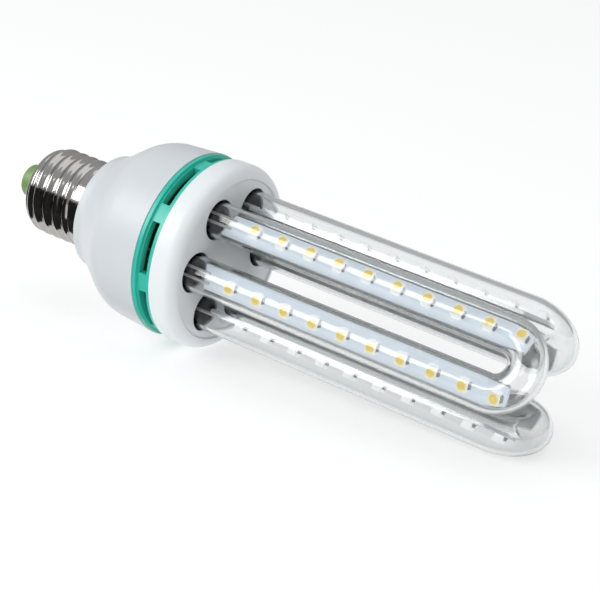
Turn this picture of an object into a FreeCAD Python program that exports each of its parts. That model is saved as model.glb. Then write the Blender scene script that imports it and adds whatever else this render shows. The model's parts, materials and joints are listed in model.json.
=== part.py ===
import FreeCAD, Part
import math
import os
import Sketcher

# An LED corn lamp on an E27 screw cap: a moulded housing, a slotted vent ring, and a holder that carries
# three clear U-shaped glass tubes, each with a strip of LEDs in either leg. The lamp is drawn upright on
# its centre contact, with its axis along Z, and every piece is then laid down as the lamp comes to rest.

document = FreeCAD.newDocument("corn_lamp")

# Driving dimensions, in millimetres and degrees.
SIZES = {
    # Centre contact: a domed rivet head with a shank through the insulator
    "contact_radius": 3.7,
    "contact_flat_radius": 2.6,
    "contact_dome": 0.6,
    "contact_edge": 0.25,
    "rivet_radius": 1.4,
    # Insulator: a moulded boss round the contact, on a cone that the screw shell is rolled over
    "insulator_margin": 1.3,
    "insulator_height": 8.2,
    "boss_height": 4.4,
    "insulator_rounding": 0.8,
    "insulator_seat": 1.8,
    "insulator_clearance": 0.3,
    # Screw shell: rolled from thin plated sheet
    "crest_radius": 13.1,
    "shell_wall": 0.35,
    "shell_end_slope": 1.0,
    "shell_lip": 1.1,
    "thread_depth": 0.9,
    "thread_pitch": 3.629,
    "thread_ridges": 4,
    "thread_lead": 0.27,
    "skirt_inset": 0.15,
    "skirt_length": 5.2,
    # Base housing: a thin moulded bowl with a collar round the shell and a neck inside it
    "housing_length": 30.0,
    "housing_wall": 1.6,
    "collar_margin": 4.05,
    "collar_rounding": 0.8,
    "waist_flare": 0.4,
    "waist_height": 3.2,
    "waist_rounding": 4.0,
    "shoulder_inset": 1.0,
    "shoulder_height": 15.4,
    "shoulder_rounding": 14.0,
    "floor_thickness": 2.2,
    "neck_length": 16.0,
    "neck_wall": 1.5,
    "neck_clearance": 0.3,
    "rib_thickness": 1.2,
    "rib_depth": 2.4,
    "rib_height": 7.0,
    "rib_count": 4,
    # Vent ring: two lips with a slotted channel between them, and a spigot into each neighbour
    "ring_height": 6.2,
    "ring_inset": 0.3,
    "lip_width": 1.2,
    "channel_depth": 0.8,
    "channel_slope": 0.2,
    "spigot_length": 3.0,
    "spigot_wall": 1.4,
    "spigot_clearance": 0.1,
    "slot_width": 2.6,
    "slot_angle": 33.0,
    "slot_count": 8,
    "slot_phase": 31.5,
    # Tube holder: a moulded cap with a dished face and a socket round each tube leg
    "holder_height": 7.6,
    "face_rounding": 3.4,
    "face_thickness": 1.7,
    "rim_land": 0.1,
    "dish_depth": 0.4,
    "dish_slope": 0.4,
    "socket_wall": 0.9,
    "socket_depth": 8.0,
    "socket_margin": 1.18,
    "hole_clearance": 0.7,
    # Glass tubes: their six legs stand evenly round the axis, a gap apart
    "tube_radius": 5.2,
    "tube_wall": 1.0,
    "leg_gap": 5.5,
    "leg_reach": 91.2,
    "leg_stop": 2.7,
    "bead_height": 4.0,
    # How much deeper the back tube is glued in than the other two
    "back_sink": 2.3,
    # LED strips and their LEDs
    "strip_thickness": 1.0,
    "strip_setback": 0.1,
    "strip_clearance": 0.25,
    "strip_inset": 3.5,
    "strip_overrun": 6.25,
    "strip_tail": 2.8,
    "led_inset": 12.6,
    "led_count": 10,
    "led_width": 3.5,
    "led_length": 2.8,
    "led_height": 1.9,
    "window_radius": 1.2,
    "window_height": 0.12,
    # Leads from each strip to the driver board
    "lead_radius": 0.4,
    "lead_spacing": 3.0,
    "pad_length": 1.8,
    # Driver board and its components
    "board_thickness": 1.6,
    "board_clearance": 0.3,
    "capacitor_radius": 5.0,
    "capacitor_length": 15.0,
    "capacitor_rounding": 0.8,
    "groove_start": 1.2,
    "groove_width": 0.8,
    "groove_depth": 0.4,
    "capacitor_offset": 8.0,
    "film_width": 11.0,
    "film_depth": 5.0,
    "film_height": 9.0,
    "film_offset": 10.5,
    "choke_radius": 4.4,
    "choke_core_radius": 2.6,
    "choke_height": 7.0,
    "choke_flange": 1.1,
    "choke_offset": 10.0,
    "bridge_width": 6.4,
    "bridge_depth": 4.8,
    "bridge_height": 2.4,
    "bridge_offset": 17.0,
    "chip_width": 4.9,
    "chip_depth": 3.9,
    "chip_height": 1.5,
    "chip_offset": 8.5,
    "resistor_radius": 1.6,
    "resistor_length": 7.0,
    "resistor_offset": 17.0,
    "wire_radius": 0.7,
    "wire_offset": 3.0,
    "wire_bend": 2.4,
}

# Stations along the axis and places across it. Each is worked out from the driving dimensions and from the
# places above it.
PLACES = {
    "insulator_tip": "Sizes.contact_radius + Sizes.insulator_margin",
    "shell_root": "Sizes.crest_radius - Sizes.thread_depth",
    "shell_turn": "Places.shell_root - Sizes.shell_end_slope",
    "shell_mouth": "Places.shell_turn - Sizes.shell_lip",
    "insulator_root": "Places.shell_mouth - Sizes.insulator_clearance",
    "flange_radius": "Places.shell_turn - Sizes.shell_wall",
    "skirt_radius": "Sizes.crest_radius - Sizes.skirt_inset",
    "thread_middle": "Sizes.crest_radius - Sizes.thread_depth / 2",
    "thread_bow": "pow(Sizes.thread_pitch / 4; 2) + pow(Sizes.thread_depth / 2; 2)",
    "thread_arc": "Places.thread_bow / Sizes.thread_depth",
    "thread_run": "Sizes.thread_lead + (Sizes.thread_ridges + 0.5) * Sizes.thread_pitch",
    "neck_radius": "Places.shell_root - Sizes.shell_wall - Sizes.neck_clearance",
    "neck_inside": "Places.neck_radius - Sizes.neck_wall",
    "collar_radius": "Places.skirt_radius + Sizes.collar_margin",
    "waist_radius": "Places.collar_radius + Sizes.waist_flare",
    "leg_offset": "Sizes.tube_radius + Sizes.leg_gap / 2",
    "tube_distance": "Places.leg_offset * sqrt(3)",
    "bore_radius": "Sizes.tube_radius - Sizes.tube_wall",
    "hole_radius": "Sizes.tube_radius + Sizes.hole_clearance",
    "leg_circle": "sqrt(pow(Places.tube_distance; 2) + pow(Places.leg_offset; 2))",
    "ring_inside": "Places.leg_circle + Places.hole_radius + Sizes.socket_wall + Sizes.socket_margin",
    "spigot_radius": "Places.ring_inside + Sizes.spigot_wall",
    "mouth_run": "Sizes.housing_length - Sizes.shoulder_height - Sizes.housing_wall / 2",
    "mouth_flare": "Sizes.shoulder_inset / Places.mouth_run",
    "mouth_taper": "Places.mouth_flare * Sizes.spigot_length",
    "mouth_radius": "Places.spigot_radius + Sizes.spigot_clearance + Places.mouth_taper",
    "body_radius": "Places.mouth_radius + Sizes.housing_wall",
    "shoulder_radius": "Places.body_radius - Sizes.shoulder_inset",
    "lip_radius": "Places.body_radius - Sizes.ring_inset",
    "channel_radius": "Places.lip_radius - Sizes.channel_depth",
    "dish_radius": "Places.body_radius - Sizes.face_rounding - Sizes.rim_land",
    "board_drop": "Sizes.spigot_length + Sizes.board_thickness",
    "board_radius": "Places.mouth_radius - Places.mouth_flare * Places.board_drop - Sizes.board_clearance",
    "insulator_face": "Sizes.contact_dome",
    "boss_root": "Places.insulator_face + Sizes.boss_height",
    "shell_end": "Places.insulator_face + Sizes.insulator_height",
    "insulator_top": "Places.shell_end + Sizes.insulator_seat",
    "skirt_start": "Places.shell_end + Sizes.shell_end_slope + Places.thread_run",
    "thread_start": "Places.skirt_start - Sizes.thread_ridges * Sizes.thread_pitch",
    "collar": "Places.skirt_start + Sizes.skirt_length",
    "neck_end": "Places.collar - Sizes.neck_length",
    "ring_start": "Places.collar + Sizes.housing_length",
    "ring_end": "Places.ring_start + Sizes.ring_height",
    "board_top": "Places.ring_start - Sizes.spigot_length",
    "board_bottom": "Places.board_top - Sizes.board_thickness",
    "face": "Places.ring_end + Sizes.holder_height",
    "dish": "Places.face - Sizes.dish_depth",
    "face_inside": "Places.dish - Sizes.face_thickness",
    "socket_end": "Places.face_inside - Sizes.socket_depth",
    "leg_start": "Places.socket_end + Sizes.leg_stop",
    "bend_start": "Places.dish + Sizes.leg_reach",
    "leg_sine": "Places.leg_offset / Places.leg_circle",
    "leg_cosine": "Places.tube_distance / Places.leg_circle",
    "strip_front": "Places.leg_circle - Sizes.strip_setback",
    "strip_back": "Places.strip_front - Sizes.strip_thickness",
    "strip_sink": "Sizes.strip_setback + Sizes.strip_thickness",
    "strip_bore": "sqrt(pow(Places.bore_radius; 2) - pow(Places.strip_sink; 2))",
    "strip_half_width": "Places.strip_bore - Sizes.strip_clearance",
    "strip_lean": "Places.strip_sink * Places.leg_cosine + Places.strip_half_width * Places.leg_sine",
    "bend_room": "Places.leg_offset + sqrt(pow(Places.bore_radius; 2) - pow(Places.strip_lean; 2))",
    "bend_reach": "sqrt(pow(Places.bend_room; 2) - pow(Sizes.strip_overrun; 2)) - Places.leg_offset",
    "strip_tip": "(Places.bend_reach + Places.strip_sink * Places.leg_sine) / Places.leg_cosine",
    "strip_start": "Places.dish + Sizes.strip_inset",
    "strip_end": "Places.bend_start + Sizes.strip_overrun",
    "first_led": "Places.dish + Sizes.led_inset",
    "led_run": "Places.strip_end - Sizes.strip_tail - Places.first_led",
    "led_front": "Places.strip_front + Sizes.led_height",
}

# The three tubes, in order round the axis, with how far each is shifted along it from the one that the lamp
# rests on.
TUBES = {"under": "0", "back": "-Sizes.back_sink", "front": "0"}
# The two legs of a tube, with the side of the tube's middle that each stands on.
LEGS = {"a": 1, "b": -1}


def write_sheet(name, cells, mark=""):
    """Fill a spreadsheet with one named cell to a row."""
    sheet = document.addObject("Spreadsheet::Sheet", name)
    for row, (alias, content) in enumerate(cells.items(), start=1):
        sheet.set(f"A{row}", alias)
        sheet.set(f"B{row}", mark + str(content))
        sheet.setAlias(f"B{row}", alias)
    return sheet


sizes = write_sheet("Sizes", SIZES)
write_sheet("Places", {alias: rule.replace("Places.", "") for alias, rule in PLACES.items()}, mark="=")
document.recompute()


def value(expression):
    """The number that an expression on the two sheets has now."""
    return float(sizes.evalExpression(str(expression)))


def resting_place():
    """How the finished lamp lies: on the rounded rim of its holder and the bend of the lowest tube."""
    rim_centre = value("Places.body_radius - Sizes.face_rounding - Places.tube_distance")
    run = value("Places.bend_start + Places.leg_offset - Places.face + Sizes.face_rounding")
    step = value("Sizes.tube_radius - Sizes.face_rounding")
    dip = math.acos(step / math.hypot(rim_centre, run)) - math.atan2(run, rim_centre)
    drop = value("Places.body_radius - Sizes.face_rounding") * math.cos(dip)
    drop += value("Places.face - Sizes.face_rounding") * math.sin(dip) + value("Sizes.face_rounding")
    reach = value("Places.bend_start + Places.leg_offset")
    tip = reach * math.cos(dip) + value("Sizes.tube_radius")
    tip += value("Places.tube_distance") * math.sin(dip) / 2
    heel = -value("Sizes.contact_flat_radius") * math.sin(dip)
    turn = FreeCAD.Rotation(FreeCAD.Vector(0, 1, 0), 90 + math.degrees(dip))
    return FreeCAD.Placement(FreeCAD.Vector(-(tip + heel) / 2, 0, drop), turn)


REST = resting_place()
SUB_PARTS = []


def place(piece, turn=0.0, shift="0"):
    """Lay a finished piece with the rest of the lamp, turned about the lamp's axis and shifted along it."""
    about_axis = FreeCAD.Rotation(FreeCAD.Vector(0, 0, 1), turn)
    piece.Placement = REST * FreeCAD.Placement(FreeCAD.Vector(0, 0, value(shift)), about_axis)
    SUB_PARTS.append(piece)
    return piece


def new_body(name):
    return document.addObject("PartDesign::Body", name)


def new_sketch(body, name, role, offset="0", turn=0.0):
    """A sketch on one of the body's own planes, moved along or turned about that plane's upright."""
    sketch = body.newObject("Sketcher::SketchObject", name)
    plane = [feature for feature in body.Origin.OriginFeatures if feature.Role == role][0]
    sketch.AttachmentSupport = [(plane, "")]
    sketch.MapMode = "FlatFace"
    upright = FreeCAD.Rotation(FreeCAD.Vector(0, 1, 0), turn)
    sketch.AttachmentOffset = FreeCAD.Placement(FreeCAD.Vector(0, 0, value(offset)), upright)
    if offset != "0":
        sketch.setExpression("AttachmentOffset.Base.z", offset)
    return sketch


def hold_point(sketch, geometry, end, across, along):
    """Tie one point of a sketch to the sheets, across and along the sketch's two axes."""
    for kind, axis, expression in (("DistanceX", -2, across), ("DistanceY", -1, along)):
        distance = value(expression)
        if abs(distance) < 1e-9:
            sketch.addConstraint(Sketcher.Constraint("PointOnObject", geometry, end, axis))
        else:
            index = sketch.addConstraint(Sketcher.Constraint(kind, -1, 1, geometry, end, distance))
            sketch.setExpression(f"Constraints[{index}]", expression)


def outline(body, name, corners, role="XZ_Plane", **where):
    """A closed outline through the corners, each given by two expressions.

    A corner with two more items starts an arc to the next corner, which is straight above or below it.
    They are the arc's radius, and the side it bulges to: 1 for outwards or -1 for inwards.
    """
    sketch = new_sketch(body, name, role, **where)
    points = [FreeCAD.Vector(value(corner[0]), value(corner[1]), 0) for corner in corners]
    ends = []
    for index, corner in enumerate(corners):
        start, stop = points[index], points[(index + 1) % len(points)]
        if len(corner) == 2:
            sketch.addGeometry(Part.LineSegment(start, stop), False)
            ends.append((1, 2))
            continue
        radius, side = value(corner[2]), corner[3]
        half_turn = math.asin((stop - start).Length / 2 / radius)
        centre = (start + stop) / 2 - FreeCAD.Vector(side * radius * math.cos(half_turn), 0, 0)
        circle = Part.Circle(centre, FreeCAD.Vector(0, 0, 1), radius)
        first = -half_turn if side == 1 else math.pi - half_turn
        sketch.addGeometry(Part.ArcOfCircle(circle, first, first + 2 * half_turn), False)
        ends.append((1, 2) if (stop.y > start.y) == (side == 1) else (2, 1))
        bow = sketch.addConstraint(Sketcher.Constraint("Radius", index, radius))
        sketch.setExpression(f"Constraints[{bow}]", corner[2])
    for index, corner in enumerate(corners):
        following = (index + 1) % len(corners)
        joint = Sketcher.Constraint("Coincident", index, ends[index][1], following, ends[following][0])
        sketch.addConstraint(joint)
        hold_point(sketch, index, ends[index][0], corner[0], corner[1])
    return sketch


def circles(body, name, rings, role="XY_Plane", **where):
    """A sketch of circles, each given by its centre's two expressions and its radius."""
    sketch = new_sketch(body, name, role, **where)
    for index, (across, along, radius) in enumerate(rings):
        centre = FreeCAD.Vector(value(across), value(along), 0)
        sketch.addGeometry(Part.Circle(centre, FreeCAD.Vector(0, 0, 1), value(radius)), False)
        bow = sketch.addConstraint(Sketcher.Constraint("Radius", index, value(radius)))
        sketch.setExpression(f"Constraints[{bow}]", radius)
        hold_point(sketch, index, 3, across, along)
    return sketch


def revolve(body, sketch, angle=360.0, cut=False):
    """Turn an outline about the sketch's upright axis, as a solid or as a cut centred on the sketch."""
    kind = "Groove" if cut else "Revolution"
    feature = body.newObject(f"PartDesign::{kind}", f"{sketch.Name}_{kind.lower()}")
    feature.Profile = sketch
    feature.ReferenceAxis = (sketch, ["V_Axis"])
    feature.Midplane = angle != 360.0
    feature.Angle = angle
    return feature


def pad(body, sketch, length, cut=False, middle=False, back=False):
    """Push an outline out as a solid, or through the solid as a cut."""
    kind = "Pocket" if cut else "Pad"
    feature = body.newObject(f"PartDesign::{kind}", f"{sketch.Name}_{kind.lower()}")
    feature.Profile = sketch
    feature.Midplane = middle
    feature.Reversed = back
    feature.Length = value(length)
    feature.setExpression("Length", length)
    return feature


def round_edges(body, base, edges, radius):
    """Round the circular edges that lie at the given pairs of radius and station."""
    document.recompute()
    wanted = [(value(across), value(along)) for across, along in edges]
    names = []
    for index, edge in enumerate(base.Shape.Edges, start=1):
        if not isinstance(edge.Curve, Part.Circle):
            continue
        for across, along in wanted:
            if abs(edge.Curve.Radius - across) < 1e-4 and abs(edge.Curve.Center.z - along) < 1e-4:
                names.append(f"Edge{index}")
    feature = body.newObject("PartDesign::Fillet", f"{base.Name}_rounded")
    feature.Base = (base, names)
    feature.Radius = value(radius)
    feature.setExpression("Radius", radius)
    return feature


def around(body, feature, count):
    """Repeat a feature evenly round the lamp's axis."""
    pattern = body.newObject("PartDesign::PolarPattern", f"{feature.Name}_ring")
    axis = [item for item in body.Origin.OriginFeatures if item.Role == "Z_Axis"][0]
    pattern.Originals = [feature]
    pattern.Axis = (axis, [""])
    pattern.Angle = 360
    pattern.Occurrences = int(value(count))
    pattern.setExpression("Occurrences", str(count))
    body.Tip = pattern
    return pattern


def make_centre_contact():
    """The plated rivet that carries the live side: a flat-topped dome and a shank through the insulator."""
    body = new_body("centre_contact")
    section = outline(body, "contact_section", [
        ("0", "0"),
        ("Sizes.contact_flat_radius", "0"),
        ("Sizes.contact_radius", "Sizes.contact_edge"),
        ("Sizes.contact_radius", "Places.insulator_face"),
        ("Sizes.rivet_radius", "Places.insulator_face"),
        ("Sizes.rivet_radius", "Places.insulator_top"),
        ("0", "Places.insulator_top"),
    ])
    revolve(body, section)
    return place(body)


def make_contact_insulator():
    """The pale green insulator: a boss, a cone, and the flange that the shell's end is rolled over."""
    body = new_body("contact_insulator")
    section = outline(body, "insulator_section", [
        ("Sizes.rivet_radius", "Places.insulator_face"),
        ("Places.insulator_tip", "Places.insulator_face"),
        ("Places.insulator_tip", "Places.boss_root"),
        ("Places.insulator_root", "Places.shell_end"),
        ("Places.insulator_root", "Places.shell_end + Sizes.shell_wall"),
        ("Places.flange_radius", "Places.shell_end + Sizes.shell_wall"),
        ("Places.flange_radius", "Places.insulator_top"),
        ("Sizes.rivet_radius", "Places.insulator_top"),
    ])
    cone = revolve(body, section)
    rim = ("Places.insulator_tip", "Places.insulator_face")
    round_edges(body, cone, [rim], "Sizes.insulator_rounding")
    return place(body)


def make_screw_shell():
    """The thin shell of the screw cap: a rolled-in end, rounded ridges and a plain skirt."""
    body = new_body("screw_shell")
    root = "Places.shell_root"
    outside = [("Places.shell_mouth", "Places.shell_end"), ("Places.shell_turn", "Places.shell_end"),
               (root, "Places.shell_end + Sizes.shell_end_slope"),
               (root, "Places.thread_start - Sizes.thread_pitch / 2")]
    for half_turn in range(2 * int(value("Sizes.thread_ridges"))):
        station = f"Places.thread_start + {half_turn - 0.5} * Sizes.thread_pitch / 2"
        outside.append(("Places.thread_middle", station, "Places.thread_arc", -1 if half_turn % 2 else 1))
    outside.append(("Places.thread_middle", "Places.skirt_start - Sizes.thread_pitch / 4"))
    outside.append(("Places.skirt_radius", "Places.skirt_start"))
    outside.append(("Places.skirt_radius", "Places.collar"))
    inside = [(f"{across} - Sizes.shell_wall", along) for across, along, *_ in reversed(outside[2:])]
    arcs = [corner[2:] for corner in outside[2:-1]]
    for index, arc in enumerate(reversed(arcs)):
        inside[index] = inside[index] + tuple(arc)
    inside.append(("Places.shell_turn - Sizes.shell_wall / 2", "Places.shell_end + Sizes.shell_wall"))
    inside.append(("Places.shell_mouth", "Places.shell_end + Sizes.shell_wall"))
    revolve(body, outline(body, "shell_section", outside + inside))
    return place(body)


def make_base_housing():
    """The white moulded bowl: a collar against the shell, a waist, a swelling shoulder and a wide mouth."""
    body = new_body("base_housing")
    collar, wall = "Places.collar", "Sizes.housing_wall"
    floor = f"{collar} + Sizes.floor_thickness"
    waist = ("Places.waist_radius", f"{collar} + Sizes.waist_height")
    shoulder = ("Places.shoulder_radius", f"{collar} + Sizes.shoulder_height")
    inner_waist = (f"Places.waist_radius - {wall}", floor)
    inner_shoulder = (f"Places.shoulder_radius - {wall}", f"{collar} + Sizes.shoulder_height + {wall} / 2")
    section = outline(body, "housing_section", [
        ("Places.body_radius", "Places.ring_start"),
        shoulder,
        waist,
        ("Places.collar_radius", collar),
        ("Places.neck_radius", collar),
        ("Places.neck_radius", "Places.neck_end"),
        ("Places.neck_inside", "Places.neck_end"),
        ("Places.neck_inside", floor),
        inner_waist,
        inner_shoulder,
        ("Places.mouth_radius", "Places.ring_start"),
    ])
    bowl = revolve(body, section)
    bowl = round_edges(body, bowl, [shoulder], "Sizes.shoulder_rounding")
    bowl = round_edges(body, bowl, [inner_shoulder], f"Sizes.shoulder_rounding - {wall}")
    bowl = round_edges(body, bowl, [waist], "Sizes.waist_rounding")
    round_edges(body, bowl, [("Places.collar_radius", collar)], "Sizes.collar_rounding")
    foot = "Places.board_bottom - Sizes.rib_height"
    rib = outline(body, "rib_outline", [
        ("Places.mouth_radius - Sizes.rib_depth", "-Sizes.rib_thickness / 2"),
        ("Places.mouth_radius", "-Sizes.rib_thickness / 2"),
        ("Places.mouth_radius", "Sizes.rib_thickness / 2"),
        ("Places.mouth_radius - Sizes.rib_depth", "Sizes.rib_thickness / 2"),
    ], "XY_Plane", offset=foot)
    around(body, pad(body, rib, "Sizes.rib_height"), "Sizes.rib_count")
    return place(body)


def make_vent_ring():
    """The green ring between housing and holder, with vent slots cut through the floor of its channel."""
    body = new_body("vent_ring")
    lip, channel, inside = "Places.lip_radius", "Places.channel_radius", "Places.ring_inside"
    section = outline(body, "ring_section", [
        (inside, "Places.ring_start - Sizes.spigot_length"),
        ("Places.spigot_radius", "Places.ring_start - Sizes.spigot_length"),
        ("Places.spigot_radius", "Places.ring_start"),
        (lip, "Places.ring_start"),
        (lip, "Places.ring_start + Sizes.lip_width"),
        (channel, "Places.ring_start + Sizes.lip_width + Sizes.channel_slope"),
        (channel, "Places.ring_end - Sizes.lip_width - Sizes.channel_slope"),
        (lip, "Places.ring_end - Sizes.lip_width"),
        (lip, "Places.ring_end"),
        ("Places.spigot_radius", "Places.ring_end"),
        ("Places.spigot_radius", "Places.ring_end + Sizes.spigot_length"),
        (inside, "Places.ring_end + Sizes.spigot_length"),
    ])
    revolve(body, section)
    near, far = f"{inside} - Sizes.spigot_wall", "Places.body_radius"
    below = "Places.ring_start + (Sizes.ring_height - Sizes.slot_width) / 2"
    above = "Places.ring_start + (Sizes.ring_height + Sizes.slot_width) / 2"
    slot = outline(body, "slot_section", [(near, below), (far, below), (far, above), (near, above)],
                   turn=value("Sizes.slot_phase"))
    around(body, revolve(body, slot, value("Sizes.slot_angle"), cut=True), "Sizes.slot_count")
    return place(body)


def leg_circles(*radii, sides=("", "-")):
    """Circles about the legs of one tube, seen along the lamp's axis."""
    centres = [("Places.tube_distance", f"{side}Places.leg_offset") for side in sides]
    return [(*centre, radius) for centre in centres for radius in radii]


def make_tube_holder():
    """The white cap that holds the tubes: a rounded rim, a dished face and six sockets behind it."""
    body = new_body("tube_holder")
    rim = ("Places.body_radius", "Places.face")
    section = outline(body, "holder_section", [
        ("Places.mouth_radius", "Places.ring_end"),
        ("Places.body_radius", "Places.ring_end"),
        rim,
        ("Places.dish_radius", "Places.face"),
        ("Places.dish_radius - Sizes.dish_slope", "Places.dish"),
        ("0", "Places.dish"),
        ("0", "Places.face_inside"),
        ("Places.mouth_radius", "Places.face_inside"),
    ])
    round_edges(body, revolve(body, section), [rim], "Sizes.face_rounding")
    sockets = circles(body, "socket_outlines", leg_circles("Places.hole_radius + Sizes.socket_wall"),
                      offset="Places.socket_end")
    around(body, pad(body, sockets, "Sizes.socket_depth + Sizes.face_thickness / 2"), len(TUBES))
    holes = circles(body, "leg_holes", leg_circles("Places.hole_radius"), offset="Places.face")
    depth = "Places.face - Places.socket_end + Sizes.face_thickness"
    around(body, pad(body, holes, depth, cut=True), len(TUBES))
    return place(body)


def make_u_tube(name, turn, shift):
    """A clear glass tube bent to a U: two straight legs and a half ring, open at both ends."""
    body = new_body(name)
    rings = leg_circles("Sizes.tube_radius", "Places.bore_radius", sides=[""])
    section = circles(body, f"{name}_section", rings, offset="Places.bend_start")
    near_leg = pad(body, section, "Places.bend_start - Places.leg_start", back=True)
    bend = body.newObject("PartDesign::Revolution", f"{name}_bend")
    bend.Profile = section
    bend.ReferenceAxis = (section, ["H_Axis"])
    bend.Angle = 180
    far_leg = body.newObject("PartDesign::Mirrored", f"{name}_far_leg")
    far_leg.Originals = [near_leg]
    plane = [item for item in body.Origin.OriginFeatures if item.Role == "XZ_Plane"][0]
    far_leg.MirrorPlane = (plane, [""])
    body.Tip = far_leg
    return place(body, turn, shift)


def make_tube_adhesive():
    """The ring of dark compound that seals each leg into its socket."""
    body = new_body("tube_adhesive")
    rings = leg_circles("Places.hole_radius", "Sizes.tube_radius")
    beads = circles(body, "bead_outlines", rings, offset="Places.leg_start")
    around(body, pad(body, beads, "Sizes.bead_height"), len(TUBES))
    return place(body)


def rectangle(across, along, width, length):
    """The four corners of a rectangle about a centre."""
    left, right = f"{across} - {width} / 2", f"{across} + {width} / 2"
    near, far = f"{along} - {length} / 2", f"{along} + {length} / 2"
    return [(left, near), (right, near), (right, far), (left, far)]


def make_led_strip(name, side, turn, shift):
    """The aluminium board in one leg: its edges rest on the bore, its outer corner is cut for the bend."""
    body = new_body(name)
    inner, outer = f"-{side} * Places.strip_half_width", f"{side} * Places.strip_half_width"
    shape = outline(body, f"{name}_outline", [
        (inner, "Places.strip_start"),
        (outer, "Places.strip_start"),
        (outer, "Places.bend_start"),
        (f"{side} * Places.strip_tip", "Places.strip_end"),
        (inner, "Places.strip_end"),
    ], "YZ_Plane", offset="Places.strip_back")
    pad(body, shape, "Sizes.strip_thickness")
    return place(body, turn, shift)


def along_strip(body, sketch, features):
    """Repeat what makes one LED at every place along its strip."""
    pattern = body.newObject("PartDesign::LinearPattern", f"{body.Name}_row")
    pattern.Originals = features
    pattern.Direction = (sketch, ["V_Axis"])
    pattern.Length = value("Places.led_run")
    pattern.setExpression("Length", "Places.led_run")
    pattern.Occurrences = int(value("Sizes.led_count"))
    pattern.setExpression("Occurrences", "Sizes.led_count")
    body.Tip = pattern


def make_leds(name, turn, shift):
    """The white plastic bodies of one strip's LEDs, each with a shallow round window in its face."""
    body = new_body(name)
    shape = rectangle("0", "Places.first_led", "Sizes.led_width", "Sizes.led_length")
    frame = outline(body, f"{name}_outline", shape, "YZ_Plane", offset="Places.strip_front")
    block = pad(body, frame, "Sizes.led_height")
    opening = [("0", "Places.first_led", "Sizes.window_radius")]
    window = circles(body, f"{name}_window", opening, "YZ_Plane", offset="Places.led_front")
    recess = pad(body, window, "Sizes.window_height", cut=True)
    along_strip(body, frame, [block, recess])
    return place(body, turn, shift)


def make_phosphors(name, turn, shift):
    """The yellow phosphor that fills the window of each LED on one strip."""
    body = new_body(name)
    opening = [("0", "Places.first_led", "Sizes.window_radius")]
    floor = "Places.led_front - Sizes.window_height"
    window = circles(body, f"{name}_outline", opening, "YZ_Plane", offset=floor)
    along_strip(body, window, [pad(body, window, "Sizes.window_height")])
    return place(body, turn, shift)


def make_strip_leads(name, turn, shift):
    """The two straight leads from the driver board to one strip's pads."""
    body = new_body(name)
    height = "Places.strip_front + Sizes.lead_radius"
    leads = [(height, f"{sign}Sizes.lead_spacing / 2", "Sizes.lead_radius") for sign in ("", "-")]
    pad(body, circles(body, f"{name}_section", leads, offset="Places.board_top"),
        f"Places.strip_start + Sizes.pad_length - Places.board_top + {shift}")
    return place(body, turn)


def on_board(body, turn, offset):
    """Hang a component under the driver board, at a distance from the lamp's axis."""
    place(body, turn)
    spot = FreeCAD.Vector(value(offset), 0, value("Places.board_bottom"))
    body.Placement = body.Placement * FreeCAD.Placement(spot, FreeCAD.Rotation())
    return body


def make_driver_board():
    """The round laminate board that the ring's spigot holds down on the housing's ribs."""
    body = new_body("driver_board")
    disc = circles(body, "board_outline", [("0", "0", "Places.board_radius")], offset="Places.board_bottom")
    pad(body, disc, "Sizes.board_thickness")
    return place(body)


def make_capacitor():
    """The electrolytic can, with the crimped groove near its seal and a rounded far end."""
    body = new_body("smoothing_capacitor")
    radius, end = "Sizes.capacitor_radius", "-Sizes.capacitor_length"
    can = revolve(body, outline(body, "can_section", [
        ("0", "0"),
        (radius, "0"),
        (radius, "-Sizes.groove_start"),
        (f"{radius} - Sizes.groove_depth", "-Sizes.groove_start - Sizes.groove_width / 2"),
        (radius, "-Sizes.groove_start - Sizes.groove_width"),
        (radius, end),
        ("0", end),
    ]))
    round_edges(body, can, [(radius, end)], "Sizes.capacitor_rounding")
    return on_board(body, 90, "Sizes.capacitor_offset")


def make_block(name, size, turn, offset):
    """A moulded component: a plain block that hangs under the board."""
    body = new_body(name)
    shape = rectangle("0", "0", f"Sizes.{size}_depth", f"Sizes.{size}_width")
    pad(body, outline(body, f"{name}_outline", shape, "XY_Plane"), f"Sizes.{size}_height", back=True)
    return on_board(body, turn, offset)


def make_choke():
    """The choke: a ferrite drum, and the copper winding between its flanges."""
    core = new_body("choke_core")
    flange, waist, height = "Sizes.choke_radius", "Sizes.choke_core_radius", "Sizes.choke_height"
    lower, upper = "-Sizes.choke_flange", f"Sizes.choke_flange - {height}"
    revolve(core, outline(core, "core_section", [
        ("0", "0"), (flange, "0"), (flange, lower), (waist, lower),
        (waist, upper), (flange, upper), (flange, f"-{height}"), ("0", f"-{height}"),
    ]))
    on_board(core, 180, "Sizes.choke_offset")
    winding = new_body("choke_winding")
    copper = f"{flange} - Sizes.choke_flange / 2"
    revolve(winding, outline(winding, "winding_section", [
        (waist, lower), (copper, lower), (copper, upper), (waist, upper),
    ]))
    on_board(winding, 180, "Sizes.choke_offset")


def make_resistor():
    """The fusible resistor, lying against the board."""
    body = new_body("fusible_resistor")
    ring = ("0", "-Sizes.resistor_radius", "Sizes.resistor_radius")
    section = circles(body, "resistor_section", [ring], "XZ_Plane")
    pad(body, section, "Sizes.resistor_length", middle=True)
    return on_board(body, 135, "Sizes.resistor_offset")


def make_live_lead():
    """The insulated lead that runs down the lamp's axis to the contact's rivet."""
    body = new_body("live_lead")
    ring = ("0", "0", "Sizes.wire_radius")
    section = circles(body, "live_section", [ring], offset="Places.insulator_top")
    pad(body, section, "Places.board_bottom - Places.insulator_top")
    return place(body)


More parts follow.
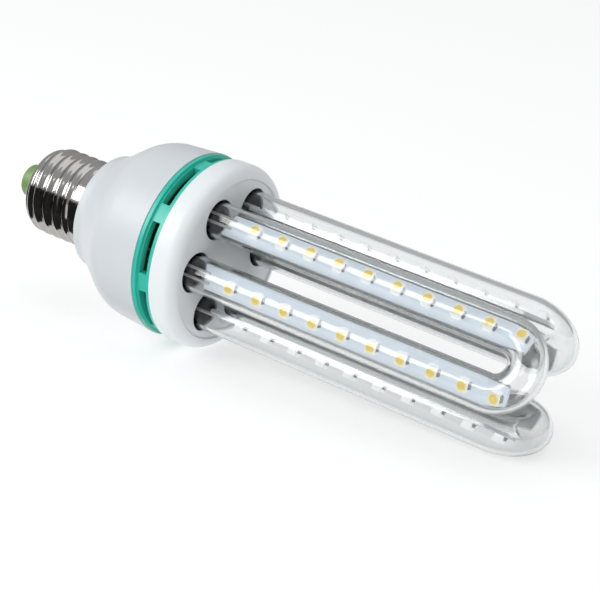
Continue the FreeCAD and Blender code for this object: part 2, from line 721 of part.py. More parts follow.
def make_neutral_lead():
    """The insulated lead that goes down the neck and turns out under its end to touch the shell."""
    body = new_body("neutral_lead")
    drop, bend = "Sizes.wire_offset", "Sizes.wire_bend"
    level = "(Places.insulator_top + Places.neck_end) / 2"
    route = new_sketch(body, "neutral_route", "XZ_Plane")
    start = FreeCAD.Vector(value(drop), value("Places.board_bottom"), 0)
    turn_start = FreeCAD.Vector(value(drop), value(f"{level} + {bend}"), 0)
    turn_end = FreeCAD.Vector(value(f"{drop} + {bend}"), value(level), 0)
    stop = FreeCAD.Vector(value("Places.neck_radius"), value(level), 0)
    centre = FreeCAD.Vector(turn_end.x, turn_start.y, 0)
    corner = centre + FreeCAD.Vector(-1, -1, 0).normalize() * value(bend)
    route.addGeometry(Part.LineSegment(start, turn_start), False)
    route.addGeometry(Part.Arc(turn_start, corner, turn_end), False)
    route.addGeometry(Part.LineSegment(turn_end, stop), False)
    ring = (drop, "0", "Sizes.wire_radius")
    section = circles(body, "neutral_section", [ring], offset="Places.board_bottom")
    document.recompute()
    lead = body.newObject("PartDesign::AdditivePipe", "neutral_pipe")
    lead.Profile = section
    lead.Spine = (route, ["Edge1", "Edge2", "Edge3"])
    return place(body, 315)


make_centre_contact()
make_contact_insulator()
make_screw_shell()
make_base_housing()
make_vent_ring()
make_tube_holder()
make_tube_adhesive()
leg_turn = math.degrees(math.atan2(value("Places.leg_offset"), value("Places.tube_distance")))
for index, (tube, tube_shift) in enumerate(TUBES.items()):
    tube_turn = 360 / len(TUBES) * index
    make_u_tube(f"u_tube_{tube}", tube_turn, tube_shift)
    for leg, leg_side in LEGS.items():
        strip_turn = tube_turn + leg_side * leg_turn
        make_led_strip(f"led_strip_{tube}_{leg}", leg_side, strip_turn, tube_shift)
        make_leds(f"leds_{tube}_{leg}", strip_turn, tube_shift)
        make_phosphors(f"phosphors_{tube}_{leg}", strip_turn, tube_shift)
        make_strip_leads(f"strip_leads_{tube}_{leg}", strip_turn, tube_shift)
make_driver_board()
make_capacitor()
make_block("film_capacitor", "film", 270, "Sizes.film_offset")
make_choke()
make_block("bridge_rectifier", "bridge", 0, "Sizes.bridge_offset")
make_block("driver_chip", "chip", 0, "Sizes.chip_offset")
make_resistor()
make_live_lead()
make_neutral_lead()
document.recompute()

for item in document.Objects:
    if {"Invalid", "Error"} & set(item.State):
        raise RuntimeError(f"{item.Label} failed: {item.State}")
for piece in SUB_PARTS:
    if piece.Shape.isNull() or not piece.Shape.isValid():
        raise RuntimeError(f"{piece.Label} has no valid shape")
os.makedirs("parts", exist_ok=True)
for piece in SUB_PARTS:
    piece.Shape.exportStep(f"parts/{piece.Label}.step")
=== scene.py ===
import json
import math

import bpy
from mathutils import Matrix, Vector


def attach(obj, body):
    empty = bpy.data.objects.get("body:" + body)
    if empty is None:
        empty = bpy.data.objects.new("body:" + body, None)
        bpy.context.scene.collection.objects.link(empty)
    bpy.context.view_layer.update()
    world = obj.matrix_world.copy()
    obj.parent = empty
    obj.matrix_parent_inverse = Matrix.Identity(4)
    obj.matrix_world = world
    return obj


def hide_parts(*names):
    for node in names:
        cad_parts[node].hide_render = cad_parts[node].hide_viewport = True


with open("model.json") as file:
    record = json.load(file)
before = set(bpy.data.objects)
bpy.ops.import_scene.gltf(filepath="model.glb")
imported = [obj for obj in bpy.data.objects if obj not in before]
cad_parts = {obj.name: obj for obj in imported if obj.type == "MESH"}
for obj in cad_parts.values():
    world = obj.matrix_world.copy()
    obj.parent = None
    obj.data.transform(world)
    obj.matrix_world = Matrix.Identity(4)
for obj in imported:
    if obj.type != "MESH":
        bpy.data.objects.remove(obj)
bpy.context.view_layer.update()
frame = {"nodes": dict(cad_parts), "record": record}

# The lamp lies on its side, on the rim of its holder and the bend of its lowest tube. Everything on it is
# placed in the lamp's own frame: Z runs up its axis from the face of the centre contact, and X points at the
# side that lies down.
contact = next(mount for mount in frame["record"]["mounts"] if mount["name"] == "contact_face")
along = -Vector(contact["axis"])
sideways = Vector((0, 1, 0))
down = sideways.cross(along)
LAMP = Matrix((down, sideways, along)).transposed().to_4x4()
LAMP.translation = Vector(contact["pos_m"])


def corners(node, turn=0.0):
    """The corners of a node in the lamp's own frame, turned about its axis."""
    back = (LAMP @ Matrix.Rotation(turn, 4, "Z")).inverted()
    return [back @ vertex.co for vertex in frame["nodes"][node].data.vertices]


def reach(node, turn=0.0):
    """The lowest and highest corner of the box round a node in that frame."""
    spots = corners(node, turn)
    return Vector(map(min, *spots)), Vector(map(max, *spots))


# The camera stands in front of the tubes, to the right of the lamp and above it, and leans a little.
CAMERA_SPOT = Vector((-0.1833, -0.3840, 0.3256))
CAMERA_AIM = Vector((0.0034, 0.0, 0.0998))
CAMERA_ROLL = math.radians(5.125)
LENS = 105.34

camera = bpy.data.objects.new("camera", bpy.data.cameras.new("camera"))
camera.data.lens = LENS
camera.data.clip_start = 0.01
sight = (LAMP @ CAMERA_AIM - LAMP @ CAMERA_SPOT).to_track_quat("-Z", "Y").to_matrix().to_4x4()
camera.matrix_world = Matrix.Translation(LAMP @ CAMERA_SPOT) @ sight @ Matrix.Rotation(CAMERA_ROLL, 4, "Z")
bpy.context.scene.collection.objects.link(camera)
bpy.context.scene.camera = camera
bpy.context.scene.view_settings.view_transform = "Standard"


# The studio: a plain pale table under soft lights. A softbox at the front left draws the bright streaks along
# the glass and the cap, a wide one overhead lights the table, and a dim one fills in from the right.
LIGHT_AIM = 0.03
TABLE_REACH = 4


class Wire:
    """A value on its way through a material's nodes. Arithmetic on it adds Math nodes."""

    def __init__(self, tree, socket):
        self.tree = tree
        self.socket = socket

    def node(self, kind, settings, inputs, output=0):
        """Add a node: its settings are set first, then the values or wires of its sockets."""
        made = self.tree.nodes.new(f"ShaderNode{kind}")
        for name, setting in settings.items():
            if name == "stops":
                for element in range(len(setting) - 2):
                    made.color_ramp.elements.new(0.5)
                for element, (place, shade) in zip(made.color_ramp.elements, setting):
                    element.position = place
                    element.color = (*shade, 1)
            else:
                setattr(made, name, setting)
        for name, value in inputs.items():
            if isinstance(value, Wire):
                self.tree.links.new(value.socket, made.inputs[name])
            else:
                made.inputs[name].default_value = value
        return Wire(self.tree, made.outputs[output])

    def maths(self, operation, first, second):
        """Add a Math node for two values or wires."""
        return self.node("Math", {"operation": operation}, {0: first, 1: second})

    def __add__(self, other):
        return self.maths("ADD", self, other)

    def __radd__(self, other):
        return self.maths("ADD", other, self)

    def __mul__(self, other):
        return self.maths("MULTIPLY", self, other)

    def __rmul__(self, other):
        return self.maths("MULTIPLY", other, self)


class Finish:
    """A material under way: where its patterns start from, and the surface that they feed."""

    def __init__(self, name, **surface):
        self.material = bpy.data.materials.new(name)
        self.material.use_nodes = True
        tree = self.material.node_tree
        self.surface = tree.nodes["Principled BSDF"]
        self.place = Wire(tree, tree.nodes.new("ShaderNodeTexCoord").outputs["Object"])
        for name, value in surface.items():
            self.surface.inputs[name.replace("_", " ").title().replace("Ior", "IOR")].default_value = value

    def stretched(self, scale):
        """The surface's own coordinates, scaled by a number for each axis."""
        return self.place.node("Mapping", {}, {"Vector": self.place, "Scale": scale})

    def noise(self, scale, place=None):
        """A cloudy pattern from 0 to 1, on the surface's own coordinates unless others are given."""
        return self.place.node("TexNoise", {}, {"Vector": place or self.place, "Scale": scale, "Detail": 3.0})

    def blend(self, share, low, high):
        """A colour between two others."""
        return self.place.node("Mix", {"data_type": "RGBA"}, {0: share, 6: low, 7: high}, output=2)

    def feed(self, name, value):
        """Lead a pattern into one of the surface's sockets."""
        self.place.tree.links.new(value.socket, self.surface.inputs[name])

    def relief(self, height, depth):
        """Raise the surface by a pattern, whose full height is the given depth in metres."""
        self.feed("Normal", self.place.node("Bump", {}, {"Height": height, "Distance": depth}))


def softbox(name, spot, size, power):
    """A rectangular light that faces the middle of the lamp."""
    light = bpy.data.lights.new(name, "AREA")
    light.shape = "RECTANGLE"
    light.size, light.size_y = size
    light.energy = power
    box = bpy.data.objects.new(name, light)
    spot = Vector(spot)
    turn = (Vector((0, 0, LIGHT_AIM)) - spot).to_track_quat("-Z", "Y")
    box.matrix_world = Matrix.Translation(spot) @ turn.to_matrix().to_4x4()
    bpy.context.scene.collection.objects.link(box)


softbox("key_softbox", (-0.40, -0.50, 0.42), (0.50, 0.36), 2.85)
softbox("overhead_softbox", (0.1, 0.3, 1.5), (1.6, 1.2), 4)
softbox("right_softbox", (0.75, -0.45, 0.45), (0.3, 0.5), 1.0)

sky = bpy.data.worlds.new("studio")
sky.use_nodes = True
heaven = Wire(sky.node_tree, sky.node_tree.nodes.new("ShaderNodeTexCoord").outputs["Generated"])
upward = heaven.node("SeparateXYZ", {}, {"Vector": heaven}, output=2)
shades = ((0.0, (0.34, 0.34, 0.34)), (0.3, (0.43, 0.435, 0.44)), (0.6, (0.52, 0.53, 0.54)),
          (1.0, (0.56, 0.57, 0.59)))
glow = heaven.node("ValToRGB", {"stops": shades}, {"Fac": upward})
sky.node_tree.links.new(glow.socket, sky.node_tree.nodes["Background"].inputs["Color"])
bpy.context.scene.world = sky

table_mesh = bpy.data.meshes.new("table")
table_corners = (-1, -1), (1, -1), (1, 1), (-1, 1)
table_mesh.from_pydata([(x * TABLE_REACH, y * TABLE_REACH, 0) for x, y in table_corners], [], [(0, 1, 2, 3)])
table = bpy.data.objects.new("table", table_mesh)
bpy.context.scene.collection.objects.link(table)
table_finish = Finish("light_table", base_color=(0.42, 0.42, 0.42, 1), roughness=0.8,
                      emission_color=(1, 1, 1, 1), emission_strength=0.62)
table_mesh.materials.append(table_finish.material)

# A dark card stands close in front of the cap. Only polished surfaces show it, as the black bands on the cap.
CARD_LEFT, CARD_RIGHT = -0.30, -0.035
CARD_NEAR, CARD_FAR = -0.055, -0.018
CARD_TOP, CARD_FOOT = 0.047, 0.002
card_mesh = bpy.data.meshes.new("dark_card")
card_edges = (CARD_NEAR, CARD_TOP), (CARD_NEAR, CARD_FOOT), (CARD_FAR, CARD_FOOT)
card_mesh.from_pydata([(side, *edge) for side in (CARD_LEFT, CARD_RIGHT) for edge in card_edges], [],
                      [(0, 1, 4, 3), (1, 2, 5, 4)])
card = bpy.data.objects.new("dark_card", card_mesh)
bpy.context.scene.collection.objects.link(card)
card.visible_camera = card.visible_diffuse = card.visible_transmission = card.visible_shadow = False
card_mesh.materials.append(Finish("dark_card", base_color=(0.01, 0.01, 0.01, 1), roughness=1.0).material)


# The housing and the tube holder are white mouldings with a satin skin, which the mould's fine spark texture
# leaves. Their two whites are set apart a little, so that each is as bright as in the photograph here.
def clothe(finish, *nodes):
    """Give CAD nodes a finish."""
    for node in nodes:
        piece = frame["nodes"][node]
        piece.data.materials.clear()
        piece.data.materials.append(finish.material)


for name, node, low, high in (
        ("housing_white", "base_housing", (0.60, 0.63, 0.66, 1), (0.63, 0.66, 0.68, 1)),
        ("holder_white", "tube_holder", (0.77, 0.81, 0.83, 1), (0.80, 0.83, 0.85, 1))):
    white = Finish(name, specular_ior_level=0.45)
    white.feed("Base Color", white.blend(white.noise(30), low, high))
    white.feed("Roughness", 0.32 + 0.10 * white.noise(160))
    white.relief(white.noise(2600), 0.00002)
    clothe(white, node)

# The vent ring is moulded from a green plastic and snaps between the housing and the holder. Its slots let
# the warm air of the driver board out.
green = Finish("green_moulding", roughness=0.30)
green.feed("Base Color", green.blend(green.noise(40), (0.028, 0.46, 0.35, 1), (0.04, 0.55, 0.43, 1)))
green.feed("Roughness", 0.26 + 0.10 * green.noise(200))
green.relief(green.noise(2200), 0.00002)
clothe(green, "vent_ring")

# The insulator is pressed from a pale green compound, with a boss that carries the contact. The contact is a
# plated rivet through its middle.
pale_green = Finish("insulator_compound", roughness=0.4)
compound_tint = pale_green.blend(pale_green.noise(300), (0.16, 0.27, 0.08, 1), (0.24, 0.36, 0.14, 1))
pale_green.feed("Base Color", compound_tint)
pale_green.relief(pale_green.noise(1500), 0.00004)
clothe(pale_green, "contact_insulator")
plated = Finish("contact_plating", metallic=1.0)
plated.feed("Base Color", plated.blend(plated.noise(400), (0.55, 0.53, 0.49, 1), (0.70, 0.68, 0.64, 1)))
plated.feed("Roughness", 0.22 + 0.2 * plated.noise(900))
clothe(plated, "centre_contact")


# The screw shell is rolled from thin sheet and plated with bright nickel. The thread is a rounded helix that
# fades out at both ends, its lower end is rolled in over the insulator, and dents hold it to the housing.
THREAD_PITCH = 0.003629
THREAD_DEPTH = 0.0009
SHELL_WALL = 0.00035
END_SLOPE = 0.001
SKIRT_INSET = 0.00015
SKIRT_LENGTH = 0.0052
THREAD_FADE = 0.0012
DENT_RADIUS = 0.0011
DENT_DEPTH = 0.0006
DENT_COUNT = 4
DENT_TURN = math.radians(20)
SHELL_STEPS = 160
SHELL_ROWS = 150
ROLL_STEPS = 8
INSIDE_STRIDE = 6
MOUTH_RADIUS = 0.0101
SHARP_EDGE = math.radians(40)


def make_mesh(name, points, faces, finishes, marks=None):
    """A smooth mesh in the lamp's own frame. The marks say which finish each face has."""
    mesh = bpy.data.meshes.new(name)
    mesh.from_pydata(points, [], faces)
    for finish in finishes:
        mesh.materials.append(finish.material)
    if marks:
        mesh.polygons.foreach_set("material_index", marks)
    mesh.polygons.foreach_set("use_smooth", [True] * len(faces))
    mesh.set_sharp_from_angle(angle=SHARP_EDGE)
    return mesh


def fit_piece(name, mesh, node, turn=0.0, shift=0.0):
    """A piece that stands for a node, turned about the lamp's axis and shifted along it."""
    piece = bpy.data.objects.new(name, mesh)
    piece.matrix_world = LAMP @ Matrix.Rotation(turn, 4, "Z") @ Matrix.Translation((0, 0, shift))
    bpy.context.scene.collection.objects.link(piece)
    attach(piece, "root")
    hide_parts(node)


def skin(rings, closed=False, capped=False):
    """The points and faces of a surface through rings of equally many points, with or without end faces."""
    count = len(rings[0])
    faces = []
    for row in range(len(rings) if closed else len(rings) - 1):
        low, high = row * count, (row + 1) % len(rings) * count
        for step in range(count):
            after = (step + 1) % count
            faces.append((low + step, low + after, high + after, high + step))
    points = [point for ring in rings for point in ring]
    if capped:
        faces += [tuple(range(count))[::-1], tuple(range(len(points) - count, len(points)))]
    return points, faces


shell_low, shell_high = reach("screw_shell")
crest_radius = shell_high.y
root_radius = crest_radius - THREAD_DEPTH
shell_end, collar = shell_low.z, shell_high.z
skirt_start = collar - SKIRT_LENGTH


def ease(share):
    """A smooth step from 0 to 1."""
    share = min(max(share, 0), 1)
    return share * share * (3 - 2 * share)


def shell_radius(turn, height):
    """The outside of the shell at an angle about the axis and a height along it."""
    rise = ease((height - shell_end - END_SLOPE) / THREAD_FADE) * ease((skirt_start - height) / THREAD_FADE)
    wave = 0.5 - 0.5 * math.cos(2 * math.pi * (height - shell_end) / THREAD_PITCH - turn)
    skirt = (THREAD_DEPTH - SKIRT_INSET) * ease((height - skirt_start + THREAD_FADE) / THREAD_FADE)
    radius = root_radius + max(THREAD_DEPTH * wave * rise, skirt)
    for dent in range(DENT_COUNT):
        aside = (turn - DENT_TURN - 2 * math.pi * dent / DENT_COUNT + math.pi) % (2 * math.pi) - math.pi
        away = math.hypot(aside * radius, height - (skirt_start + collar) / 2)
        radius -= DENT_DEPTH * math.exp(-((away / DENT_RADIUS) ** 4))
    return radius


def shell_ring(height, inset, slope=0.0):
    """A ring of the shell, set in from the outside and let down by its end's slope."""
    ring = []
    for step in range(SHELL_STEPS):
        turn = 2 * math.pi * step / SHELL_STEPS
        radius = shell_radius(turn, height) - inset
        ring.append((radius * math.cos(turn), radius * math.sin(turn), height - slope))
    return ring


outside = [shell_ring(shell_end + END_SLOPE + (collar - shell_end - END_SLOPE) * row / SHELL_ROWS, 0)
           for row in range(SHELL_ROWS + 1)]
rolled = []
for step in range(ROLL_STEPS + 1):
    bow = math.pi / 2 * step / ROLL_STEPS
    rolled.append(shell_ring(shell_end + END_SLOPE, END_SLOPE * (1 - math.sin(bow)),
                             END_SLOPE * math.cos(bow)))
shell_turns = [2 * math.pi * step / SHELL_STEPS for step in range(SHELL_STEPS)]
lip = [[(MOUTH_RADIUS * math.cos(turn), MOUTH_RADIUS * math.sin(turn), shell_end + lift)
        for turn in shell_turns] for lift in (SHELL_WALL, 0)]
inward = 1 - SHELL_WALL / root_radius
inside = [[(x * inward, y * inward, z + SHELL_WALL) for x, y, z in ring]
          for ring in (rolled + outside)[::-INSIDE_STRIDE]]
points, faces = skin(lip + rolled + outside[1:] + inside[1:], closed=True)
nickel = Finish("nickel_plating", metallic=1.0)
nickel.feed("Base Color", nickel.blend(nickel.noise(120), (0.42, 0.40, 0.385, 1), (0.50, 0.48, 0.46, 1)))
scratches = nickel.noise(500, place=nickel.stretched((1, 1, 6)))
nickel.feed("Roughness", 0.06 + 0.10 * scratches)
nickel.relief(scratches, 0.00001)
shell_mesh = make_mesh("screw_shell_rolled", points, faces, [nickel])
fit_piece("screw_shell_rolled", shell_mesh, "screw_shell")

# The tubes are drawn from clear glass and bent hot to a U. Their walls carry faint draw lines, and their ends
# are melted round. The legs stand in the holder's sockets, in a sealing compound coloured near black as
# painted shade.
TUBE_WALL = 0.001
TUBE_STEPS = 72
BEND_STEPS = 40
LEG_ROWS = 12
LIP_STEPS = 6

glass = Finish("clear_glass", roughness=0.0, transmission_weight=1.0, ior=1.5)
slant = glass.place.node("LayerWeight", {}, {"Blend": 0.5}, output=1)
tints = ((0.0, (0.965, 0.975, 0.975)), (0.15, (0.93, 0.945, 0.945)), (0.4, (0.85, 0.87, 0.87)),
         (0.8, (0.72, 0.75, 0.745)))
glass.feed("Base Color", glass.place.node("ValToRGB", {"stops": tints}, {"Fac": slant}))
draw_lines = glass.noise(260, place=glass.stretched((1, 1, 0.02)))
glass.relief(draw_lines, 0.00003)
tube_low, tube_high = reach("u_tube_under")
tube_radius = (tube_high.x - tube_low.x) / 2
tube_distance = (tube_high.x + tube_low.x) / 2
leg_offset = tube_high.y - tube_radius
leg_start = tube_low.z
bend_start = tube_high.z - tube_radius - leg_offset

route = [(leg_offset, leg_start + (bend_start - leg_start) * row / LEG_ROWS, 0) for row in range(LEG_ROWS)]
for step in range(BEND_STEPS + 1):
    bow = math.pi * step / BEND_STEPS
    route.append((leg_offset * math.cos(bow), bend_start + leg_offset * math.sin(bow), bow))
route += [(-aside, height, math.pi) for aside, height, _ in reversed(route[:LEG_ROWS])]


def tube_ring(spot, radius, lift=0.0):
    """A ring of the tube's wall about a point of its centre line."""
    aside, height, bow = spot
    ring = []
    for step in range(TUBE_STEPS):
        turn = 2 * math.pi * step / TUBE_STEPS
        out = radius * math.cos(turn)
        ring.append((tube_distance + radius * math.sin(turn), aside + out * math.cos(bow),
                     height + lift + out * math.sin(bow)))
    return ring


def tube_lip(spot):
    """The melted end between the outside and the bore."""
    half = TUBE_WALL / 2
    bows = [math.pi * step / LIP_STEPS for step in range(1, LIP_STEPS)]
    return [tube_ring(spot, tube_radius - half + half * math.cos(bow), half - half * math.sin(bow))
            for bow in bows]


lifts = [TUBE_WALL / 2 if spot in (route[0], route[-1]) else 0 for spot in route]
outer = [tube_ring(spot, tube_radius, lift) for spot, lift in zip(route, lifts)]
bore = [tube_ring(spot, tube_radius - TUBE_WALL, lift) for spot, lift in zip(route, lifts)]
walls = bore + tube_lip(route[-1])[::-1] + outer[::-1] + tube_lip(route[0])
points, faces = skin(walls, closed=True)
tube_mesh = make_mesh("glass_tube", points, faces, [glass])
TUBES = ("under", "back", "front")
tube_turns = [2 * math.pi * index / len(TUBES) for index in range(len(TUBES))]
tube_shifts = [reach(f"u_tube_{tube}")[0].z - leg_start for tube in TUBES]
for tube, turn, shift in zip(TUBES, tube_turns, tube_shifts):
    fit_piece(f"glass_tube_{tube}", tube_mesh, f"u_tube_{tube}", turn, shift)

# A compound seals each leg into its socket. It fills the gap round the glass nearly to the holder's
# face, with a hollow top, and closes the leg's open end round the leads. Its near-black colour is painted
# shade in the sockets and the legs' ends.
FILL_DEPTH = 0.0006
MENISCUS = 0.0004
PLUG_HEIGHT = 0.003
FILL_STEPS = 48
MENISCUS_STEPS = 8
SOCKET_DEPTH = 0.007
CENTRE_SHARE = 0.02
dish = leg_start + SOCKET_DEPTH
compound = Finish("sealing_compound", roughness=0.5)
# Near black: painted shade in the sockets and the legs' ends, laid on a real sealing compound.
seal_painted_shade = compound.blend(compound.noise(500), (0.012, 0.013, 0.013, 1), (0.04, 0.042, 0.042, 1))
compound.feed("Base Color", seal_painted_shade)
compound.relief(compound.noise(900), 0.0001)
bead_low, bead_high = reach("tube_adhesive")
leg_radius = math.hypot(tube_distance, leg_offset)
hole_radius = bead_high.x - tube_distance
bore_radius = tube_radius - TUBE_WALL


def fill_ring(middle, radius, height):
    """A ring about a leg's centre line."""
    turns = [2 * math.pi * step / FILL_STEPS for step in range(FILL_STEPS)]
    return [middle + Vector((radius * math.cos(turn), radius * math.sin(turn), height)) for turn in turns]


points, faces = [], []
for index in range(2 * len(TUBES)):
    bearing = math.pi / 6 + math.pi * index / 3
    middle = Vector((leg_radius * math.cos(bearing), leg_radius * math.sin(bearing), 0))
    fill = []
    for step in range(MENISCUS_STEPS + 1):
        bow = math.pi * step / MENISCUS_STEPS
        out = (hole_radius - tube_radius) * (0.5 - 0.5 * math.cos(bow))
        fill.append(fill_ring(middle, tube_radius + out, dish - FILL_DEPTH - MENISCUS * math.sin(bow)))
    fill += [fill_ring(middle, hole_radius, bead_low.z), fill_ring(middle, tube_radius, bead_low.z)]
    plug = [fill_ring(middle, bore_radius * share, bead_low.z + height)
            for share, height in ((CENTRE_SHARE, 0), (1, 0), (1, PLUG_HEIGHT), (0.8, PLUG_HEIGHT - MENISCUS),
                                  (CENTRE_SHARE, PLUG_HEIGHT - MENISCUS))]
    for made, sides in (skin(fill[::-1], closed=True), skin(plug, capped=True)):
        faces += [[corner + len(points) for corner in side] for side in sides]
        points += made
fit_piece("leg_seals", make_mesh("leg_seals", points, faces, [compound]), "tube_adhesive")

# Each strip is a narrow aluminium board with a white coating on its front, whose outer corner is cut for the
# bend. Half of them are the mirrored board. A faint glow on the coating and the LEDs, which the real ones
# don't have, makes them as bright behind the glass as in the photograph.
COAT = 0.0001
EDGE_STEPS = 5
CORNER_ROUND = 0.0005
LEG_TURN = math.atan2(leg_offset, tube_distance)
coating = Finish("strip_coating", emission_color=(0.80, 0.88, 0.95, 1), emission_strength=0.24)
coating.feed("Base Color", coating.blend(coating.noise(80), (0.74, 0.82, 0.92, 1), (0.80, 0.87, 0.95, 1)))
coating.feed("Roughness", 0.35 + 0.15 * coating.noise(300))
coating.relief(coating.noise(1800), 0.00001)
aluminium = Finish("strip_aluminium", metallic=1.0)
brushed = aluminium.noise(400, place=aluminium.stretched((20, 20, 1)))
aluminium.feed("Base Color", aluminium.blend(brushed, (0.78, 0.79, 0.80, 1), (0.90, 0.91, 0.92, 1)))
aluminium.feed("Roughness", 0.4 + 0.2 * brushed)
strip_low, strip_high = reach("led_strip_under_a", LEG_TURN)
strip_tip = max(spot.y for spot in corners("led_strip_under_a", LEG_TURN) if spot.z > strip_high.z - COAT)
# The terminals' solder is darkened below bright tin: painted shade at the LEDs' ends, on real tinned
# terminals.
solder = Finish("solder", metallic=1.0)
solder.feed("Base Color", solder.blend(solder.noise(900), (0.34, 0.34, 0.34, 1), (0.52, 0.52, 0.51, 1)))
solder.feed("Roughness", 0.4 + 0.25 * solder.noise(1500))


def rounded(outline, radius):
    """An outline with its corners rounded by a short run of points."""
    spots = []
    for index in range(len(outline)):
        before, corner, after = (Vector(outline[(index + step) % len(outline)]) for step in (-1, 0, 1))
        first = corner + (before - corner).normalized() * radius
        last = corner + (after - corner).normalized() * radius
        for step in range(EDGE_STEPS):
            share = step / (EDGE_STEPS - 1)
            spots.append(first.lerp(corner, share).lerp(corner.lerp(last, share), share))
    return spots


strip_meshes = {}
for leg, side in (("a", 1), ("b", -1)):
    edge = rounded([(-side * strip_high.y, strip_low.z), (side * strip_high.y, strip_low.z),
                    (side * strip_high.y, bend_start), (side * strip_tip, strip_high.z),
                    (-side * strip_high.y, strip_high.z)][::side], CORNER_ROUND)
    rings = [[(depth, *spot) for spot in edge] for depth in (strip_low.x, strip_high.x - COAT, strip_high.x)]
    points, faces = skin(rings, capped=True)
    marks = [0] * len(edge) + [1] * len(edge) + [0, 1]
    strip_meshes[leg] = make_mesh(f"strip_board_{leg}", points, faces, [aluminium, coating], marks)

# An LED is a white moulded cup with a round window, filled nearly flush with a yellow phosphor. The cup's rim
# is painted cream and glows faintly, as painted light of the phosphor. A plated terminal comes out at each
# end, along the strip, and is soldered down to the board.
CUP_STEPS = 40
SQUARENESS = 14
CUP_DRAFT = 0.00006
CUP_WAIST = 0.0009
RIM_ROUND = 0.00006
WINDOW_DIP = 0.00008
TERMINAL_WIDTH = 0.0021
TERMINAL_SHAPE = ((-0.00010, 0.00095), (0.00010, 0.00095), (0.00012, 0.0005), (0.00022, 0.0002),
                  (0.0005, 0.0), (-0.00010, 0.0))
DISC_SHARES = (1, 0.96, 0.85, 0.6, 0.3, CENTRE_SHARE)
led_low, led_high = reach("leds_under_a", LEG_TURN)
disc_low, disc_high = reach("phosphors_under_a", LEG_TURN)
window_radius = disc_high.y
led_count = 10
first_led = disc_low.z + window_radius
led_pitch = (disc_high.z - disc_low.z - 2 * window_radius) / (led_count - 1)
half_width, half_length = led_high.y, first_led - led_low.z
led_height = led_high.x - strip_high.x
# The rim's cream colour and cream glow are painted light of the phosphor on a white cup.
rim = Finish("led_rim", roughness=0.35, emission_color=(1.0, 0.95, 0.76, 1), emission_strength=0.30)
rim.feed("Base Color", rim.blend(rim.noise(500), (0.82, 0.77, 0.56, 1), (0.88, 0.83, 0.64, 1)))
rim.relief(rim.noise(3000), 0.00001)
cup = Finish("led_cup", roughness=0.35, emission_color=(1.0, 1.0, 0.98, 1), emission_strength=0.34)
cup.feed("Base Color", cup.blend(cup.noise(500), (0.88, 0.88, 0.85, 1), (0.94, 0.94, 0.92, 1)))
cup.relief(cup.noise(3000), 0.00001)
phosphor = Finish("phosphor", roughness=0.3, emission_color=(1.0, 0.74, 0.16, 1), emission_strength=0.26)
phosphor.feed("Base Color", phosphor.blend(phosphor.noise(900), (0.80, 0.58, 0.10, 1), (0.88, 0.68, 0.18, 1)))
phosphor.relief(phosphor.noise(4000), 0.00002)


def cup_ring(lift, draft, station):
    """A ring round the LED's square body."""
    ring = []
    for step in range(CUP_STEPS):
        turn = 2 * math.pi * step / CUP_STEPS
        reached = (abs(math.cos(turn)) ** SQUARENESS + abs(math.sin(turn)) ** SQUARENESS) ** (1 / SQUARENESS)
        aside = (half_width - draft) * math.cos(turn) / reached
        ring.append((strip_high.x + lift, aside, station + (half_length - draft) * math.sin(turn) / reached))
    return ring


def window_ring(lift, radius, station):
    """A ring round the LED's window."""
    turns = [2 * math.pi * step / CUP_STEPS for step in range(CUP_STEPS)]
    return [(strip_high.x + lift, radius * math.cos(turn), station + radius * math.sin(turn))
            for turn in turns]


cup_points, cup_faces, cup_marks, disc_points, disc_faces = [], [], [], [], []
for index in range(led_count):
    station = first_led + index * led_pitch
    rings = [cup_ring(lift, draft, station)
             for lift, draft in ((0, CUP_DRAFT), (CUP_WAIST, 0), (led_height - RIM_ROUND, CUP_DRAFT),
                                 (led_height, CUP_DRAFT + RIM_ROUND))]
    rings += [window_ring(led_height, window_radius + RIM_ROUND, station),
              window_ring(led_height - RIM_ROUND, window_radius, station),
              window_ring(led_height - 2 * WINDOW_DIP, window_radius, station)]
    made, sides = skin(rings, capped=True)
    cup_faces += [[corner + len(cup_points) for corner in side] for side in sides]
    cup_marks += [0] * 2 * CUP_STEPS + [1] * (len(sides) - 2 * CUP_STEPS)
    cup_points += made
    for side in (1, -1):
        profile = [(strip_high.x + lift, station + side * (half_length + out))
                   for out, lift in TERMINAL_SHAPE]
        edges = [[(height, edge * TERMINAL_WIDTH / 2, spot) for height, spot in profile[::-side]]
                 for edge in (-1, 1)]
        made, sides = skin(edges, capped=True)
        cup_faces += [[corner + len(cup_points) for corner in side] for side in sides]
        cup_marks += [2] * len(sides)
        cup_points += made
    dips = [window_ring(led_height - 2 * WINDOW_DIP, window_radius, station)]
    dips += [window_ring(led_height - WINDOW_DIP * (1 - share ** 4), window_radius * share, station)
             for share in DISC_SHARES]
    made, sides = skin(dips, capped=True)
    disc_faces += [[corner + len(disc_points) for corner in side] for side in sides]
    disc_points += made
cup_mesh = make_mesh("led_cups", cup_points, cup_faces, [cup, rim, solder], cup_marks)
disc_mesh = make_mesh("led_windows", disc_points, disc_faces, [phosphor])
for tube, turn, shift in zip(TUBES, tube_turns, tube_shifts):
    for leg, side in (("a", 1), ("b", -1)):
        bearing = turn + side * LEG_TURN
        fit_piece(f"strip_board_{tube}_{leg}", strip_meshes[leg], f"led_strip_{tube}_{leg}",
                  bearing, shift)
        fit_piece(f"led_cups_{tube}_{leg}", cup_mesh, f"leds_{tube}_{leg}", bearing, shift)
        fit_piece(f"led_windows_{tube}_{leg}", disc_mesh, f"phosphors_{tube}_{leg}", bearing,
                  shift)

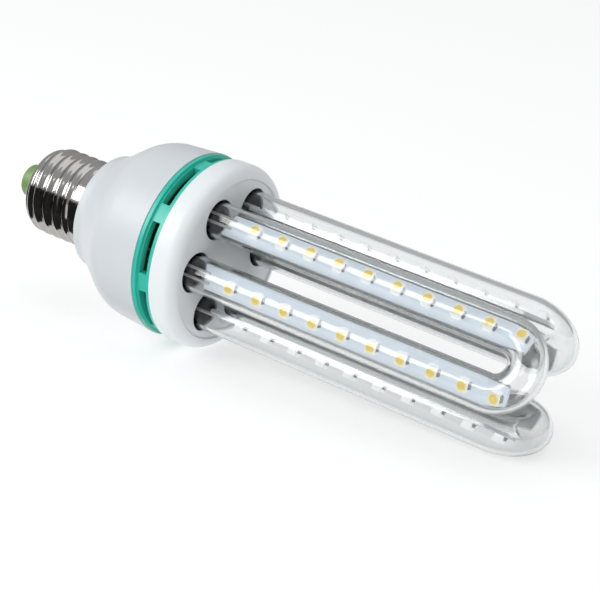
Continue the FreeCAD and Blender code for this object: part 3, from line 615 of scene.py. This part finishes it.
# The leads are thin stranded wires in a pale insulation. Two run from the driver board to each strip, and one
# each to the contact and the shell of the cap.
lead = Finish("lead_insulation", roughness=0.4)
lead.feed("Base Color", lead.blend(lead.noise(300), (0.72, 0.72, 0.70, 1), (0.82, 0.82, 0.80, 1)))
clothe(lead, "live_lead", "neutral_lead", *(f"strip_leads_{tube}_{leg}" for tube in TUBES for leg in "ab"))

# The driver board is a round laminate with a green coating. Its parts hang from it into the housing, where
# only a little of them shows through the vent slots.
laminate = Finish("board_laminate", roughness=0.4)
laminate.feed("Base Color", laminate.blend(laminate.noise(200), (0.05, 0.12, 0.04, 1), (0.08, 0.17, 0.06, 1)))
sleeve = Finish("can_sleeve", roughness=0.3)
sleeve.feed("Base Color", sleeve.blend(sleeve.noise(200), (0.01, 0.012, 0.03, 1), (0.02, 0.025, 0.05, 1)))
coat = Finish("film_coating", roughness=0.25)
coat.feed("Base Color", coat.blend(coat.noise(250), (0.35, 0.05, 0.02, 1), (0.45, 0.09, 0.03, 1)))
ferrite = Finish("ferrite", roughness=0.6)
ferrite.feed("Base Color", ferrite.blend(ferrite.noise(900), (0.03, 0.03, 0.035, 1), (0.07, 0.07, 0.075, 1)))
copper = Finish("copper_winding", metallic=1.0)
copper.feed("Base Color", copper.blend(copper.noise(900), (0.55, 0.18, 0.06, 1), (0.75, 0.32, 0.14, 1)))
copper.feed("Roughness", 0.25 + 0.2 * copper.noise(400))
black = Finish("black_moulding", roughness=0.5)
black.feed("Base Color", black.blend(black.noise(900), (0.010, 0.010, 0.010, 1), (0.025, 0.025, 0.025, 1)))
resistor = Finish("resistor_coating", roughness=0.45)
resistor.feed("Base Color", resistor.blend(resistor.noise(400), (0.10, 0.20, 0.14, 1), (0.16, 0.28, 0.20, 1)))
clothe(laminate, "driver_board")
clothe(sleeve, "smoothing_capacitor")
clothe(coat, "film_capacitor")
clothe(ferrite, "choke_core")
clothe(copper, "choke_winding")
clothe(black, "bridge_rectifier", "driver_chip")
clothe(resistor, "fusible_resistor")
